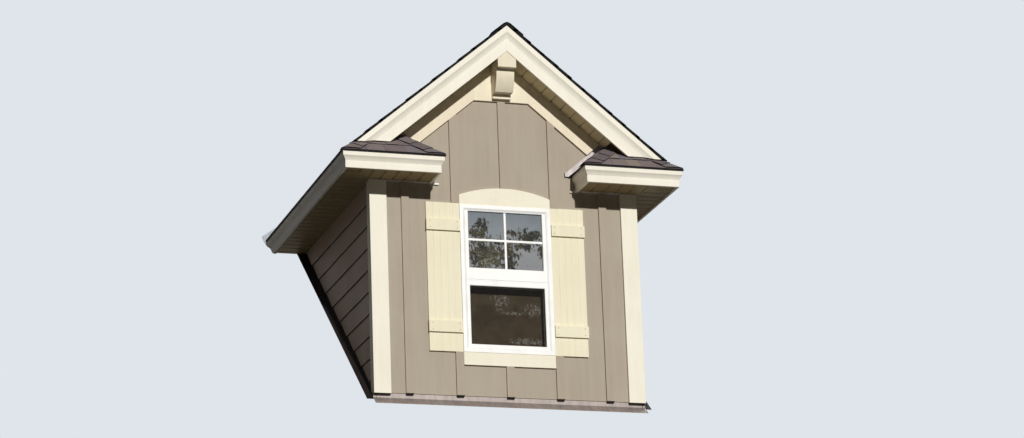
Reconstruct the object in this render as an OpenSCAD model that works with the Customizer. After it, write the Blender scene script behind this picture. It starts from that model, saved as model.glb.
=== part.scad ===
// Gable dormer window with boxed cornice returns.
// Origin: middle of the front sole plate, on its sloped seat face.
// X to the dormer's right-hand side, Y back, Z up.

/* [Roof shape] */
// pitch of all roof slopes in degrees, 10 in 12
roof_angle = 39.80557; // [26.5:0.00001:45]
// width over the stud frame
frame_w = 2134; // [1600:2:3600]
// overhang of the eave crown past the corner boards
eave_over = 285; // [120:1:450]
// overhang of the rake crown past the front panel
rake_over = 241; // [120:1:400]
// overhang of the return crown past the front panel
return_over = 332; // [200:1:500]
// distance from the middle to each return's inner end
return_inner_x = 574; // [300:1:900]

/* [Framing] */
// depth of a wall stud
stud_d = 89; // [64:1:140]
// thickness of framing lumber
lumber_t = 38; // [30:1:51]
// spacing of studs and rafters
stud_pitch = 406.4; // [300:0.4:610]
// depth of a rafter, square to its slope
rafter_d = 140; // [89:1:235]
// depth of the ridge board
ridge_d = 184; // [140:1:286]
// depth of the window header
header_d = 140; // [89:1:286]
// height of the short studs between header and top plates
head_stud_h = 200.1; // [20:0.1:600]
// width of a valley sleeper, in plan
sleeper_w = 180; // [90:1:286]
// distance from the valley to the sleeper, in plan
sleeper_back = 30; // [10:1:60]
// clearance between the window and its rough opening
rough_gap = 10; // [3:1:20]

/* [Sheathing and cladding] */
// thickness of wall sheathing
sheath_t = 11; // [9:1:19]
// thickness of roof deck, square to the slope
deck_t = 12; // [9:1:25]
// thickness of the shingle layer, square to the slope
skin_t = 16; // [6:1:30]
// overhang of the shingles past the crown
skin_over = 6; // [3:1:40]
// thickness of the ridge cap
cap_t = 7; // [3:1:15]
// half width of the ridge cap, in plan
cap_half_w = 118; // [80:1:180]
// thickness of the front panel
panel_t = 8; // [6:1:19]
// height of the panel's bottom edge over the origin
panel_foot_z = 0; // [-20:1:60]
// height showing between two lap edges
lap_pitch = 176.35; // [100:0.05:250]
// thickness of a lap board at its butt
lap_t = 9; // [6:1:20]
// height of one lap edge over the origin
lap_edge_z = 1527.9; // [1400:0.1:1700]
// height of the siding's cut edge over the seat plane
lap_foot = 51; // [20:1:90]
// width of a batten
batten_w = 63.5; // [38:0.5:90]
// thickness of a batten
batten_t = 19; // [12:1:25]

/* [Cornice] */
// thickness of a fascia board
fascia_t = 19; // [15:1:32]
// projection of the crown past the fascia
crown_out = 21.5; // [10:0.5:60]
// height of the return cornice, crown and fascia together
cornice_h = 132; // [100:1:250]
// height of the crown's top band on eaves and returns
cornice_band_h = 38; // [10:1:60]
// height of the crown's cove on eaves and returns
cornice_cove_h = 36; // [10:1:80]
// radius of the crown's cove
cove_r = 120; // [30:1:400]
// height of the rake cornice, square to its slope
rake_h = 163; // [120:1:260]
// height of the rake crown's top band
rake_band_h = 42; // [15:1:70]
// height of the rake crown's cove
rake_cove_h = 41; // [20:1:90]
// thickness of a soffit
soffit_t = 10; // [6:1:20]
// height of a soffit above its fascia's bottom edge
soffit_up = 9; // [0:1:40]
// gap left under the rake fascia's foot
rake_foot_gap = 14; // [5:1:60]
// reach of the return's roof behind the rake fascia
return_tuck = 16; // [5:1:40]

/* [Wall trim] */
// width of a corner board
corner_w = 137.6; // [80:0.1:200]
// thickness of corner boards
corner_t = 24; // [15:1:40]
// width of a corner board's side leg
corner_leg_w = 90; // [60:1:150]
// height of the corner boards' feet over the origin
corner_foot_z = -8; // [-30:1:40]
// thickness of wall trim
trim_t = 19; // [12:1:32]
// width of the frieze, square to its slope
frieze_w = 140; // [80:1:220]
// gap between the return flashing and the frieze's foot
frieze_foot_gap = 6; // [1:1:30]
// height from the gusset's level edge to the frieze's edge at the middle
gusset_drop = 188; // [80:1:300]
// height of the head trim at its ends
head_end_h = 77; // [50:1:150]
// rise of the head trim's arch
head_rise = 70; // [20:1:150]
// height of the sill trim
sill_h = 101.6; // [60:0.1:150]

/* [Bracket] */
// width of the block and foot
bracket_w = 152; // [90:1:220]
// width of the scroll
scroll_w = 148; // [80:1:200]
// height of the block at its sides
block_side_h = 68; // [40:1:120]
// distance from the panel to the block's face
block_out = 214; // [150:1:300]
// distance from the panel to the scroll's face
scroll_out = 164; // [100:1:260]
// radius of the scroll's belly
scroll_r = 300; // [120:1:500]
// height of the scroll from the foot to the block
scroll_h = 191; // [120:1:300]
// height of the scroll's neck over the foot
neck_h = 15; // [5:1:60]
// distance from the panel to the neck's face
neck_out = 46; // [30:1:120]
// thickness of the foot
foot_t = 22; // [15:1:50]
// distance from the panel to the foot's face
foot_out = 52; // [40:1:140]

/* [Window] */
// width of the window frame
window_w = 747; // [500:1:1200]
// height of the window frame
window_h = 1195; // [700:1:1600]
// height of the window's bottom over the origin
window_z = 346; // [200:1:900]
// width of a frame member
frame_bar = 30; // [20:1:60]
// distance from the panel to the frame's face
frame_out = 22; // [5:1:40]
// depth of the window frame
frame_d = 82; // [60:1:120]
// distance from the frame's face to the upper sash
sash_back = 8; // [2:1:25]
// width of a sash stile
stile_w = 38; // [25:1:70]
// height of the upper sash's top rail
top_rail_h = 18; // [12:1:70]
// height of the bottom rail of the lower sash
bottom_rail_h = 40; // [25:1:90]
// height of the upper sash's glass bottom over the origin
upper_glass_z = 1029; // [700:1:1300]
// height of the lower sash's glass top over the origin
lower_glass_z = 883; // [600:1:1200]
// height of the meeting rail's middle
meeting_z = 956; // [650:1:1250]
// depth of a sash
sash_d = 30; // [20:1:45]
// thickness of the glass unit
glass_t = 6; // [3:1:24]
// overlap of the two sashes at the meeting rail
meeting_lap = 40; // [20:1:60]
// thickness of the backing board
backing_t = 12; // [6:1:20]

/* [Shutters] */
// width of a shutter
shutter_w = 272; // [150:1:400]
// height of the shutters past the window frame
shutter_over = 7; // [0:1:60]
// number of boards in a shutter
shutter_boards_n = 5; // [3:1:7]
// thickness of the shutter's boards
shutter_t = 17; // [12:1:25]
// depth of the groove between boards
groove_d = 2.5; // [1:0.5:8]
// height of a shutter batten
shutter_batten_h = 93; // [50:1:140]
// thickness of a shutter batten
shutter_batten_t = 17; // [10:1:25]
// distance from the shutter's top to the upper batten
upper_batten_down = 138; // [50:1:300]
// distance from the shutter's bottom to the lower batten
lower_batten_up = 150; // [50:1:300]
// overhang of a shutter batten past the outer board
shutter_batten_over = 4; // [0:1:15]
// gap between a shutter and the window frame
shutter_gap = 1.5; // [0:0.5:20]

/* [Flashing] */
// thickness of flashing metal
metal_t = 1.5; // [1:0.1:3]
// width of the return flashing's leg over the shingles
return_lap = 50; // [40:1:120]
// width of the apron along the seat
apron_w = 95; // [60:1:200]
// height of the apron over the seat plane
apron_lift = 8; // [3:1:30]
// width of the step flashing along the seat
step_w = 75; // [50:1:130]
// reach of the valley metal past the valley, in plan
valley_w = 110; // [80:1:250]
// distance the shingles stay back from the valley, in plan
valley_open = 45; // [20:1:90]
// height of the return flashing's upright leg
return_leg = 52; // [25:1:80]
// reach of the return flashing past the return's inner end
return_metal_over = 58; // [10:1:90]

/* [Hidden] */
a = roof_angle;
slope = tan(a);
up = 1 / cos(a);
far = 8000;
deck_v = deck_t * up;
skin_v = skin_t * up;
rafter_v = rafter_d * up;
sleeper_v = lumber_t * up;
metal_v = metal_t * up;
side_x = frame_w / 2;
frame_y = -stud_d / 2;
sheath_y = frame_y - sheath_t;
panel_y = sheath_y - panel_t;
wall_x = side_x + sheath_t;
corner_x = wall_x + corner_t;
eave_x = corner_x + eave_over;
window_top_z = window_z + window_h;
header_z = window_top_z + rough_gap;
plate_z = header_z + header_d + head_stud_h;
plate_top_z = plate_z + 2 * lumber_t;
peak_h = plate_top_z + deck_v + rafter_v + slope * (side_x - stud_d);
eave_z = peak_h - slope * eave_x;
board_x = eave_x - crown_out;
rake_y = panel_y - rake_over;
rake_board_y = rake_y + crown_out;
rake_back_y = rake_board_y + fascia_t;
return_y = panel_y - return_over;
return_board_y = return_y + crown_out;
return_board_x = return_inner_x + crown_out;
ridge_board_z = peak_h - deck_v - slope * lumber_t / 2 - ridge_d;
sole_top_z = lumber_t + slope * stud_d / 2;
valley_s = peak_h / slope;
sleeper_s = valley_s - sleeper_back;
soffit_z = eave_z - cornice_h + soffit_up;
fascia_back_x = board_x - fascia_t;
gable_soffit_z = peak_h - rake_h * up + soffit_up * up;
frieze_z = gable_soffit_z - frieze_w * up;
gusset_z = frieze_z - gusset_drop;
gusset_x = gusset_drop / slope;
laps_up = ceil((soffit_z - lap_edge_z) / lap_pitch);
laps_down = ceil((lap_edge_z + stud_d) / lap_pitch);
window_y = panel_y - frame_out;
shutter_x = window_w / 2 + shutter_gap;
shutter_h = window_h + shutter_over;
upper_sash_y = window_y + sash_back;
glass_half = window_w / 2 - frame_bar - stile_w;
trim_y = panel_y - trim_t;
skin_y = rake_y - skin_over;

// ---- helpers ----

// polygon in Y and Z pulled along X
module along_x(x0, x1)
  translate([x0, 0, 0]) rotate([90, 0, 90]) linear_extrude(height = x1 - x0) children();

// polygon in X and Z pulled along Y
module along_y(y0, y1)
  translate([0, y1, 0]) rotate([90, 0, 0]) linear_extrude(height = y1 - y0) children();

// everything below the seat plane raised by lift
module below_seat(lift = 0)
  translate([0, 0, lift]) rotate([a, 0, 0]) translate([-far, -far, -far]) cube([2 * far, 2 * far, far]);

// everything above the right-hand dormer slope lowered by drop
module above_slope(drop)
  translate([0, 0, peak_h - drop]) rotate([0, a, 0]) translate([-far, -far, 0]) cube([2 * far, 2 * far, far]);

// everything above the return's front slope raised by lift
module above_return_front(lift)
  translate([0, return_y, eave_z + lift]) rotate([a, 0, 0]) translate([-far, -far, 0]) cube([2 * far, 2 * far, far]);

// everything above the return's inner slope raised by lift
module above_return_inner(lift)
  translate([return_inner_x, 0, eave_z + lift]) rotate([0, -a, 0]) translate([-far, -far, 0]) cube([2 * far, 2 * far, far]);

// everything below the return's inner slope raised by lift
module below_return_inner(lift)
  translate([return_inner_x, 0, eave_z + lift]) rotate([0, -a, 0]) translate([-far, -far, -far]) cube([2 * far, 2 * far, far]);

module both_sides() {
  children();
  mirror([1, 0, 0]) children();
}

module box(lo, hi)
  translate(lo) cube(hi - lo);

// plan half-space: x + y from s on the right-hand side
module past_diagonal(s)
  translate([s, 0, 0]) rotate([0, 0, 45]) translate([0, -far, -far]) cube([far, 2 * far, 2 * far]);

// plan half-space: x + y up to s on the right-hand side
module before_diagonal(s)
  translate([s, 0, 0]) rotate([0, 0, 45]) translate([-far, -far, -far]) cube([far, 2 * far, 2 * far]);

// slab of the right-hand dormer slope between two vertical depths
module slope_slab(x0, x1, y0, y1, top, bottom)
  along_y(y0, y1)
    polygon([[x0, peak_h - top - slope * x0], [x1, peak_h - top - slope * x1],
             [x1, peak_h - bottom - slope * x1], [x0, peak_h - bottom - slope * x0]]);

// hip-ended block under the three slopes of a return
module return_block(lift, reach) {
  z = eave_z + lift - slope * reach;
  mid = (return_inner_x + eave_x) / 2;
  intersection() {
    along_y(return_y - reach, panel_y)
      polygon([[return_inner_x - reach, z], [mid, z + slope * (mid - return_inner_x + reach)], [eave_x + reach, z],
               [eave_x + reach, -far], [return_inner_x - reach, -far]]);
    along_x(return_inner_x - reach, eave_x + reach)
      polygon([[return_y - reach, z], [panel_y, z + slope * (panel_y - return_y + reach)],
               [panel_y, -far], [return_y - reach, -far]]);
  }
}

// space above a return that the dormer's own roof takes
module return_roof_limit() {
  intersection() {
    above_slope(peak_h - gable_soffit_z);
    box([-far, rake_back_y + return_tuck, -far], [far, far, far]);
  }
  intersection() {
    above_slope(deck_v);
    box([-far, rake_board_y, -far], [far, far, far]);
  }
  intersection() {
    above_slope(0);
    box([-far, skin_y, -far], [far, far, far]);
  }
}

// section of crown and fascia: first coordinate inward from the crown's face
module cornice_section(height, band, cove, lift, board_lift) {
  difference() {
    polygon([[0, 0], [crown_out, lift], [crown_out, board_lift], [crown_out + fascia_t, board_lift],
             [crown_out + fascia_t, -height], [crown_out, -height], [crown_out, -band - cove], [0, -band]]);
    intersection() {
      cove_circle(band, cove);
      translate([-crown_out, -band - cove]) square([2 * crown_out, cove]);
    }
  }
}

// circle through both ends of the cove
module cove_circle(band, cove) {
  chord = sqrt(crown_out * crown_out + cove * cove);
  sag = sqrt(cove_r * cove_r - chord * chord / 4);
  translate([crown_out / 2 - sag * cove / chord, -band - cove / 2 - sag * crown_out / chord])
    circle(r = cove_r);
}

module level_cornice_section()
  cornice_section(cornice_h, cornice_band_h, cornice_cove_h, slope * crown_out, slope * crown_out - deck_v);

// ---- framing ----

module front_sole_plate()
  color("burlywood")
    along_x(-side_x, side_x)
      polygon([[frame_y, slope * frame_y], [-frame_y, -slope * frame_y], [-frame_y, sole_top_z], [frame_y, sole_top_z]]);

module cheek_sole_plates()
  color("burlywood") both_sides()
    difference() {
      along_x(side_x - stud_d, side_x)
        polygon([[-frame_y, -slope * frame_y], [valley_s, peak_h], [valley_s, peak_h + sleeper_v],
                 [-frame_y, -slope * frame_y + sleeper_v]]);
      past_diagonal(sleeper_s - sleeper_w);
    }

module front_studs()
  color("burlywood") both_sides() {
    box([side_x - lumber_t, frame_y, sole_top_z], [side_x, -frame_y, plate_z]);
    box([2 * stud_pitch - lumber_t / 2, frame_y, sole_top_z], [2 * stud_pitch + lumber_t / 2, -frame_y, plate_z]);
    box([window_w / 2 + rough_gap, frame_y, sole_top_z], [window_w / 2 + rough_gap + 2 * lumber_t, -frame_y, plate_z]);
    for (k = [1, 2])
      along_y(frame_y, -frame_y)
        polygon([[k * stud_pitch - lumber_t / 2, plate_top_z], [k * stud_pitch + lumber_t / 2, plate_top_z],
                 [k * stud_pitch + lumber_t / 2, rafter_under(k * stud_pitch + lumber_t / 2)],
                 [k * stud_pitch - lumber_t / 2, rafter_under(k * stud_pitch - lumber_t / 2)]]);
  }

module window_header_and_sill()
  color("burlywood") {
    box([-window_w / 2 - rough_gap, frame_y, header_z],
        [window_w / 2 + rough_gap, -frame_y, header_z + header_d]);
    box([-window_w / 2 - rough_gap, frame_y, window_z - rough_gap - lumber_t],
        [window_w / 2 + rough_gap, -frame_y, window_z - rough_gap]);
  }

module short_studs()
  color("burlywood") {
    box([-lumber_t / 2, frame_y, plate_top_z], [lumber_t / 2, -frame_y, ridge_board_z]);
    for (x = [-window_w / 2 + lumber_t, -lumber_t / 2, window_w / 2 - 2 * lumber_t]) {
      box([x, frame_y, sole_top_z], [x + lumber_t, -frame_y, window_z - rough_gap - lumber_t]);
      box([x, frame_y, header_z + header_d], [x + lumber_t, -frame_y, plate_z]);
    }
  }

function rafter_under(x) = peak_h - deck_v - rafter_v - slope * x;

module front_top_plate()
  color("burlywood") box([-side_x, frame_y, plate_z], [side_x, -frame_y, plate_top_z]);

module cheek_top_plates()
  color("burlywood") both_sides()
    difference() {
      box([side_x - stud_d, -frame_y, plate_z], [side_x, valley_s, plate_top_z]);
      below_seat(sleeper_v);
    }

module cheek_studs()
  color("burlywood") both_sides()
    difference() {
      for (k = [1 : floor((plate_z / slope) / stud_pitch)])
        box([side_x - stud_d, k * stud_pitch - lumber_t / 2, 0], [side_x, k * stud_pitch + lumber_t / 2, plate_z]);
      below_seat(sleeper_v);
    }

module ridge_board()
  color("burlywood")
    difference() {
      box([-lumber_t / 2, frame_y, ridge_board_z], [lumber_t / 2, valley_s, ridge_board_z + ridge_d]);
      below_seat(sleeper_v);
    }

module rafters()
  color("burlywood") both_sides()
    difference() {
      for (k = [0 : floor(valley_s / stud_pitch)])
        translate([0, k * stud_pitch, 0])
          slope_slab(lumber_t / 2, fascia_back_x, frame_y, frame_y + lumber_t, deck_v, deck_v + rafter_v);
      below_seat(sleeper_v);
      box([side_x - stud_d, -far, -far], [wall_x, far, plate_top_z]);
      box([wall_x - 1, -far, -far], [far, far, soffit_z + soffit_t]);
    }

module valley_sleepers()
  color("burlywood") both_sides()
    difference() {
      along_x(lumber_t / 2, fascia_back_x)
        polygon([[0, 0], [valley_s, peak_h], [valley_s, peak_h + sleeper_v], [0, sleeper_v]]);
      above_slope(deck_v);
      past_diagonal(sleeper_s);
      before_diagonal(sleeper_s - sleeper_w);
    }

// ---- sheathing and cladding ----

module window_hole(y0, y1)
  box([-window_w / 2, y0, window_z], [window_w / 2, y1, window_top_z]);

module front_sheathing()
  color("peru")
    difference() {
      along_y(sheath_y, frame_y)
        polygon([[-side_x, -stud_d], [side_x, -stud_d], [side_x, peak_h - deck_v - slope * side_x],
                 [0, peak_h - deck_v], [-side_x, peak_h - deck_v - slope * side_x]]);
      below_seat();
      window_hole(sheath_y - 1, frame_y + 1);
    }

module cheek_sheathing()
  color("peru") both_sides()
    difference() {
      box([side_x, sheath_y, -stud_d], [wall_x, far / 2, soffit_z + soffit_t + 2 * lumber_t]);
      below_seat();
    }

module deck_slab()
  difference() {
    slope_slab(0, board_x, rake_board_y, valley_s, 0, deck_v);
    below_seat();
  }

module roof_deck_right() color("peru") deck_slab();
module roof_deck_left() color("peru") mirror([1, 0, 0]) deck_slab();

module skin_slab()
  difference() {
    slope_slab(0, eave_x + skin_over, skin_y, valley_s, -skin_v, 0);
    past_diagonal(valley_s - valley_open);
  }

module shingles_right() color("dimgray") skin_slab();
module shingles_left() color("dimgray") mirror([1, 0, 0]) skin_slab();

module ridge_cap()
  color("dimgray")
    difference() {
      union() both_sides() slope_slab(0, cap_half_w, skin_y, valley_s, -skin_v - cap_t * up, -skin_v);
      below_seat(metal_v);
    }

module return_decks()
  color("peru") both_sides()
    difference() {
      return_block(0, 0);
      return_block(-deck_v, 0);
      return_roof_limit();
      box([-far, -far, -far], [return_board_x, far, far]);
      box([board_x, -far, -far], [far, far, far]);
      box([-far, -far, -far], [far, return_board_y, far]);
      box([-far, -far, -far], [far, far, eave_z - slope * crown_out]);
    }

module return_shingles()
  color("dimgray") both_sides()
    difference() {
      return_block(skin_v, skin_over);
      return_block(0, skin_over);
      return_roof_limit();
    }

module front_panel()
  color("tan")
    difference() {
      along_y(panel_y, sheath_y)
        polygon([[-wall_x, panel_foot_z], [wall_x, panel_foot_z], [wall_x, gable_soffit_z - slope * wall_x],
                 [0, gable_soffit_z], [-wall_x, gable_soffit_z - slope * wall_x]]);
      window_hole(panel_y - 1, sheath_y + 1);
    }

module lap_siding()
  color("dimgray") both_sides()
    difference() {
      along_y(panel_y - corner_t + corner_leg_w, far / 2)
        polygon(concat([[wall_x, -stud_d]],
          [for (k = [-laps_down : laps_up], s = [0, 1])
            [wall_x + (s == 0 ? 2 * lap_t : lap_t), lap_edge_z + (k + s) * lap_pitch]],
          [[wall_x, lap_edge_z + (laps_up + 1) * lap_pitch]]));
      below_seat(lap_foot);
      box([0, -far, soffit_z], [far, far, far]);
    }

module battens()
  color("tan")
    difference() {
      for (k = [-2 : 2])
        box([k * stud_pitch - batten_w / 2, panel_y - batten_t, panel_foot_z],
            [k * stud_pitch + batten_w / 2, panel_y, peak_h]);
      both_sides() above_slope(peak_h - frieze_z);
      box([-far, -far, gusset_z], [far, far, far]);
      along_y(panel_y - far / 4, panel_y + 1) head_outline();
      box([-window_w / 2, -far, window_z - sill_h], [window_w / 2, far, window_top_z]);
      both_sides() box([window_w / 2, -far, window_z], [shutter_x + shutter_w, far, window_z + shutter_h]);
      both_sides() box([return_inner_x - skin_over, -far, soffit_z], [far, far, far]);
    }

// ---- cornice ----

module rake_run()
  difference() {
    translate([0, 0, peak_h]) rotate([0, a, 0])
      along_x(-rake_h, far / 4) translate([rake_y, 0])
        cornice_section(rake_h, rake_band_h, rake_cove_h, 0, -deck_t);
    box([-far, -far, -far], [0, far, far]);
    below_return_foot();
  }

// everything lower than the slanted foot of the rake
module below_return_foot()
  difference() {
    box([-far, -far / 2, -far], [far, far / 2, peak_h]);
    above_return_front(skin_v + rake_foot_gap);
  }

module rake_fascia_right() color("ivory") rake_run();
module rake_fascia_left() color("ivory") mirror([1, 0, 0]) rake_run();

module eave_run()
  translate([eave_x, 0, eave_z]) mirror([1, 0, 0])
    along_y(return_y, far / 2) level_cornice_section();

module eave_fascias()
  color("ivory") both_sides()
    difference() {
      eave_run();
      below_seat();
      corner_front(eave_x, 1);
    }

// plan half-space in front of the mitre at the return's outer or inner corner
module corner_front(x, turn)
  translate([x, return_y, 0]) rotate([0, 0, turn > 0 ? -45 : 45])
    translate([-far, -far, -far]) cube([2 * far, far, 2 * far]);

module return_front_run()
  difference() {
    along_x(return_inner_x, eave_x) translate([return_y, eave_z]) level_cornice_section();
    difference() {
      box([-far, -far, -far], [far, far, far]);
      corner_front(eave_x, 1);
    }
    difference() {
      box([-far, -far, -far], [far, far, far]);
      corner_front(return_inner_x, -1);
    }
  }

module return_end_run()
  difference() {
    translate([return_inner_x, 0, eave_z]) along_y(return_y, panel_y) level_cornice_section();
    corner_front(return_inner_x, -1);
  }

module return_fascias()
  color("ivory") both_sides() {
    return_front_run();
    return_end_run();
  }

module eave_soffits()
  color("ivory") both_sides()
    difference() {
      box([wall_x, return_board_y + fascia_t, soffit_z], [fascia_back_x, far / 2, soffit_z + soffit_t]);
      below_seat();
      corner_front(eave_x, 1);
    }

module return_soffits()
  color("ivory") both_sides()
    intersection() {
      box([return_board_x + fascia_t, return_board_y + fascia_t, soffit_z], [fascia_back_x, panel_y, soffit_z + soffit_t]);
      corner_front(eave_x, 1);
    }

module gable_soffit()
  difference() {
    slope_slab(0, eave_x, rake_back_y, panel_y, peak_h - gable_soffit_z - soffit_t * up, peak_h - gable_soffit_z);
    return_block(skin_v, 0);
    box([return_inner_x, -far, -far], [far, far, eave_z]);
  }

module gable_soffit_right() color("ivory") gable_soffit();
module gable_soffit_left() color("ivory") mirror([1, 0, 0]) gable_soffit();

// ---- wall trim ----

module frieze()
  difference() {
    slope_slab(gusset_x, eave_x, trim_y, panel_y, peak_h - gable_soffit_z, peak_h - frieze_z);
    below_return_inner(skin_v + return_leg + frieze_foot_gap);
  }

module frieze_right() color("ivory") frieze();
module frieze_left() color("ivory") mirror([1, 0, 0]) frieze();

module gable_gusset()
  color("ivory")
    along_y(trim_y, panel_y)
      polygon([[-gusset_x, gusset_z], [gusset_x, gusset_z], [gusset_x, gable_soffit_z - gusset_drop],
               [0, gable_soffit_z], [-gusset_x, gable_soffit_z - gusset_drop]]);

module bracket()
  color("ivory") {
    rake_under = peak_h - rake_h * up;
    block_z = rake_under - slope * bracket_w / 2 - block_side_h;
    scroll_z = block_z - scroll_h;
    along_y(panel_y - block_out, trim_y)
      polygon([[-bracket_w / 2, block_z], [bracket_w / 2, block_z],
               [bracket_w / 2, rake_under - slope * bracket_w / 2], [0, rake_under],
               [-bracket_w / 2, rake_under - slope * bracket_w / 2]]);
    along_x(-scroll_w / 2, scroll_w / 2) {
      intersection() {
        translate([panel_y - scroll_out, scroll_z + neck_h]) square([scroll_out - trim_t, scroll_h - neck_h + trim_t]);
        translate([panel_y - scroll_out + scroll_r, block_z]) circle(r = scroll_r);
      }
      translate([panel_y - neck_out, scroll_z - foot_t / 2])
        square([neck_out - trim_t, scroll_h + foot_t / 2 + trim_t]);
    }
    box([-bracket_w / 2, panel_y - foot_out, scroll_z - foot_t], [bracket_w / 2, trim_y, scroll_z]);
  }

module corner_boards()
  color("ivory") both_sides()
    difference() {
      union() {
        box([corner_x - corner_w, panel_y - corner_t, corner_foot_z], [corner_x, panel_y, soffit_z]);
        box([wall_x, panel_y, corner_foot_z], [corner_x, panel_y - corner_t + corner_leg_w, soffit_z]);
      }
      below_seat(lap_foot / 2);
    }

// outline of the arched head trim
module head_outline() {
  r = (window_w * window_w / 4 + head_rise * head_rise) / (2 * head_rise);
  intersection() {
    translate([-window_w / 2, window_top_z]) square([window_w, head_end_h + head_rise]);
    translate([0, window_top_z + head_end_h + head_rise - r]) circle(r = r);
  }
}

module window_trim()
  color("ivory") {
    along_y(trim_y, panel_y) head_outline();
    box([-window_w / 2, trim_y, window_z - sill_h], [window_w / 2, panel_y, window_z]);
  }

// ---- window ----

module ring(lo, hi, left, bottom, top)
  difference() {
    box(lo, hi);
    box([lo[0] + left, lo[1] - 1, lo[2] + bottom], [hi[0] - left, hi[1] + 1, hi[2] - top]);
  }

module window_frame()
  color("white")
    ring([-window_w / 2, window_y, window_z], [window_w / 2, window_y + frame_d, window_top_z],
         frame_bar, frame_bar, frame_bar);

module upper_sash()
  color("white")
    ring([-window_w / 2 + frame_bar, upper_sash_y, meeting_z - meeting_lap / 2],
         [window_w / 2 - frame_bar, upper_sash_y + sash_d, window_top_z - frame_bar],
         stile_w, upper_glass_z - meeting_z + meeting_lap / 2, top_rail_h);

module lower_sash()
  color("white")
    ring([-window_w / 2 + frame_bar, upper_sash_y + sash_d, window_z + frame_bar],
         [window_w / 2 - frame_bar, upper_sash_y + 2 * sash_d, meeting_z + meeting_lap / 2],
         stile_w, bottom_rail_h, meeting_z + meeting_lap / 2 - lower_glass_z);

module window_glass()
  color("lightblue") {
    translate([0, upper_sash_y + sash_d / 2, 0])
      box([-glass_half, 0, upper_glass_z], [glass_half, glass_t, window_top_z - frame_bar - top_rail_h]);
    translate([0, upper_sash_y + 1.5 * sash_d, 0])
      box([-glass_half, 0, window_z + frame_bar + bottom_rail_h], [glass_half, glass_t, lower_glass_z]);
  }

module window_backing()
  color("saddlebrown")
    box([-window_w / 2 - rough_gap - lumber_t, -frame_y, window_z - lumber_t],
        [window_w / 2 + rough_gap + lumber_t, -frame_y + backing_t, window_top_z + lumber_t]);

// ---- shutters ----

module shutter_profile() {
  w = shutter_w / shutter_boards_n;
  difference() {
    square([shutter_w, shutter_t]);
    for (k = [1 : shutter_boards_n - 1])
      polygon([[k * w - groove_d, -1], [k * w + groove_d, -1], [k * w, groove_d]]);
  }
}

module shutter_boards()
  color("ivory") both_sides()
    translate([shutter_x, panel_y - shutter_t, window_z])
      linear_extrude(height = shutter_h) shutter_profile();

module shutter_battens()
  color("ivory") both_sides()
    for (z = [window_z + lower_batten_up, window_z + shutter_h - upper_batten_down - shutter_batten_h])
      box([shutter_x, panel_y - shutter_t - shutter_batten_t, z],
          [shutter_x + shutter_w + shutter_batten_over, panel_y - shutter_t, z + shutter_batten_h]);

// ---- flashing ----

module apron_flashing()
  color("gray")
    along_x(-corner_x, corner_x)
      let (bend_y = sheath_y - metal_t, tip_y = sheath_y - apron_w * cos(a))
        polygon([[sheath_y, slope * sheath_y + apron_lift], [sheath_y, panel_foot_z], [bend_y, panel_foot_z],
                 [bend_y, slope * bend_y + apron_lift + metal_v], [tip_y, slope * tip_y + apron_lift + metal_v],
                 [tip_y, slope * tip_y + apron_lift]]);

module step_flashings()
  color("gray") both_sides()
    intersection() {
      union() {
        box([wall_x, panel_y, -far / 4], [wall_x + metal_t, valley_s, far / 2]);
        difference() {
          box([wall_x, panel_y, -far / 4], [wall_x + step_w, valley_s, far / 2]);
          difference() {
            box([-far, -far, -far], [far, far, far]);
            below_seat(metal_v);
          }
        }
      }
      difference() {
        below_seat(lap_foot);
        below_seat();
        box([-far, -far, soffit_z], [far, far, far]);
      }
    }

module valley_flashings()
  color("gray") both_sides()
    difference() {
      along_x(metal_t, eave_x + skin_over)
        polygon([[0, 0], [far / 2, slope * far / 2], [far / 2, slope * far / 2 + metal_v], [0, metal_v]]);
      past_diagonal(valley_s + valley_w);
      before_diagonal(valley_s);
    }

module return_flashings()
  color("lightgray") both_sides()
    intersection() {
      union() {
        box([0, panel_y - metal_t, 0], [far, panel_y, far]);
        difference() {
          box([0, panel_y - return_lap, 0], [far, panel_y, far]);
          above_return_inner(skin_v + metal_v);
          above_return_front(skin_v + metal_v);
        }
      }
      difference() {
        box([return_inner_x - return_metal_over, -far, eave_z], [eave_x, far, peak_h]);
        above_return_inner(skin_v + return_leg);
        below_return_inner(skin_v);
        above_slope(peak_h - gable_soffit_z);
      }
    }

front_sole_plate();
cheek_sole_plates();
front_studs();
window_header_and_sill();
short_studs();
front_top_plate();
cheek_top_plates();
cheek_studs();
ridge_board();
rafters();
valley_sleepers();
front_sheathing();
cheek_sheathing();
roof_deck_left();
roof_deck_right();
shingles_left();
shingles_right();
ridge_cap();
return_decks();
return_shingles();
front_panel();
lap_siding();
battens();
rake_fascia_left();
rake_fascia_right();
eave_fascias();
return_fascias();
eave_soffits();
return_soffits();
gable_soffit_left();
gable_soffit_right();
frieze_left();
frieze_right();
gable_gusset();
bracket();
corner_boards();
window_trim();
window_frame();
upper_sash();
lower_sash();
window_glass();
window_backing();
shutter_boards();
shutter_battens();
apron_flashing();
step_flashings();
valley_flashings();
return_flashings();
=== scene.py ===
# %% [markdown]
# A gable dormer window, dressed for its portrait. The solids come from the
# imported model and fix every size. This file gives them finishes, lays the roof
# in shingles and the soffits in planks, and adds parts too fine for the solids,
# such as bars, channels and screws. All of it is measured from the frame.

# %% Load the frame
import math

import bmesh
import bpy
import numpy as np
from mathutils import Matrix, Vector


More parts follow.
